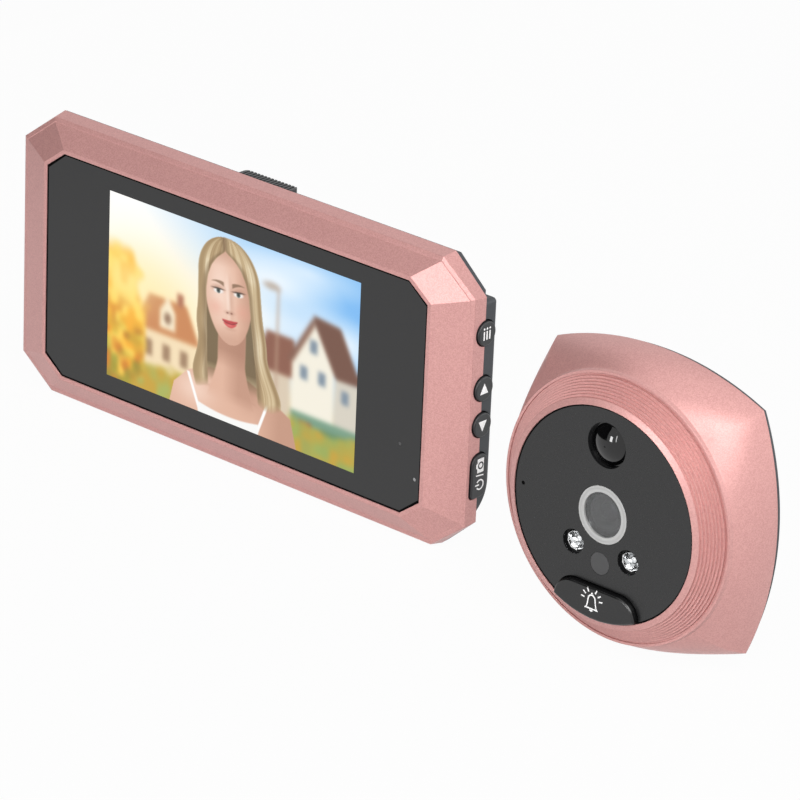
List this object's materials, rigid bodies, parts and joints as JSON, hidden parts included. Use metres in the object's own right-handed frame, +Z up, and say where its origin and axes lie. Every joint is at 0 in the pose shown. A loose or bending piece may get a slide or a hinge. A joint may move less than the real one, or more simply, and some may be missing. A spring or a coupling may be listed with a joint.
{
  "type": "peephole door camera",
  "caption": "Peephole door camera set: flat indoor screen unit with side keys, thumb latch and sliding door bracket, and a bowed square outdoor camera with motion sensor, lens and bell key.",
  "frame": {"origin": "centre of the set's footprint, on the surface that both units stand on", "axes": "+X to the right as the screen is read, from the indoor unit to the outdoor unit; +Y away from the viewer, into the door side; +Z up"},
  "size_m": [0.2289, 0.0312, 0.0712],
  "materials": {
    "rose_gold_paint": "fine metallic rose-gold paint on moulded plastic, satin-gloss",
    "front_glass": "grey-black masked glass, satin",
    "lcd_panel": "polarised glass",
    "backlight_tray": "bare pressed tray",
    "circuit_board": "green solder mask",
    "chip_epoxy": "moulded epoxy",
    "screw_steel": "zinc plated",
    "microphone_can": "bare can",
    "light_pipe": "clear acrylic",
    "battery_foil": "pouch foil",
    "speaker_frame": "moulded frame",
    "socket_steel": "pressed and plated",
    "white_nylon": "moulded connector body",
    "switch_body": "moulded switch",
    "black_keys": "satin black",
    "black_cover": "fine-textured black",
    "bracket_steel": "black coated steel sheet",
    "black_disc": "smooth satin-gloss black",
    "silver_ring": "satin turned",
    "clear_window": "clear",
    "lens_black": "matt black",
    "lens_glass": "coated lens glass",
    "sensor_glass": "sensor cover glass",
    "smoked_dome": "smoked infrared-passing plastic, glossy",
    "can_steel": "pressed can",
    "led_epoxy": "water-clear epoxy",
    "sleeve_rubber": "moulded sleeve",
    "grey_window": "grey translucent",
    "bush_metal": "nickel-plated brass",
    "insert_brass": "bare brass",
    "pad_foam": "closed-cell foam"
  },
  "bodies": {
    "mounting_bracket": {"mounting_bracket": "bracket_steel"},
    "indoor_monitor": {"front_frame": "rose_gold_paint", "front_glass": "front_glass", "lcd_panel": "lcd_panel", "backlight": "backlight_tray", "main_board": "circuit_board", "main_chips": "chip_epoxy", "board_screws": "screw_steel", "microphone": "microphone_can", "status_light_pipe": "light_pipe", "battery": "battery_foil", "speaker": "speaker_frame", "usb_socket": "socket_steel", "card_slot": "socket_steel", "cable_socket": "white_nylon", "key_board": "circuit_board", "key_switches": "switch_body", "back_cover": "black_cover", "case_screws": "screw_steel"},
    "menu_button": {"menu_button": "black_keys"},
    "up_button": {"up_button": "black_keys"},
    "down_button": {"down_button": "black_keys"},
    "photo_power_button": {"photo_power_button": "black_keys"},
    "release_latch": {"release_latch": "black_keys"},
    "outdoor_camera": {"camera_housing": "rose_gold_paint", "camera_disc": "black_disc", "lens_ring": "silver_ring", "lens_window": "clear_window", "lens_holder": "lens_black", "lens_barrel": "lens_black", "front_lens": "lens_glass", "image_sensor": "sensor_glass", "pir_dome": "smoked_dome", "pir_sensor": "can_steel", "infrared_leds": "led_epoxy", "led_sleeves": "sleeve_rubber", "light_window": "grey_window", "light_sensor": "led_epoxy", "outdoor_microphone": "microphone_can", "camera_board": "circuit_board", "camera_board_screws": "screw_steel", "doorbell_switch": "switch_body", "rear_plate": "black_cover", "tube_bush": "bush_metal", "screw_inserts": "insert_brass", "rear_screws": "screw_steel", "rear_pad": "pad_foam"},
    "doorbell_button": {"doorbell_button": "black_keys"}
  },
  "joints": [
    {"name": "menu_button_press", "type": "slide", "parent": "indoor_monitor", "child": "menu_button", "axis": [-1, 0, 0], "range_m": [0, 0.0004], "stiffness_N_per_m": 600},
    {"name": "up_button_press", "type": "slide", "parent": "indoor_monitor", "child": "up_button", "axis": [-1, 0, 0], "range_m": [0, 0.0004], "stiffness_N_per_m": 600},
    {"name": "down_button_press", "type": "slide", "parent": "indoor_monitor", "child": "down_button", "axis": [-1, 0, 0], "range_m": [0, 0.0004], "stiffness_N_per_m": 600},
    {"name": "photo_power_button_press", "type": "slide", "parent": "indoor_monitor", "child": "photo_power_button", "axis": [-1, 0, 0], "range_m": [0, 0.0004], "stiffness_N_per_m": 600},
    {"name": "release_latch_press", "type": "slide", "parent": "indoor_monitor", "child": "release_latch", "axis": [0, 0, -1], "range_m": [0, 0.0012], "stiffness_N_per_m": 400},
    {"name": "monitor_slide", "type": "slide", "parent": "mounting_bracket", "child": "indoor_monitor", "axis": [0, 0, 1], "range_m": [0, 0.006]},
    {"name": "outdoor_camera_lift", "type": "slide", "parent": "mounting_bracket", "child": "outdoor_camera", "axis": [0, 0, 1], "range_m": [0, 0.06]},
    {"name": "doorbell_press", "type": "slide", "parent": "outdoor_camera", "child": "doorbell_button", "axis": [0, 1, 0], "range_m": [0, 0.0008], "stiffness_N_per_m": 500}
  ]
}
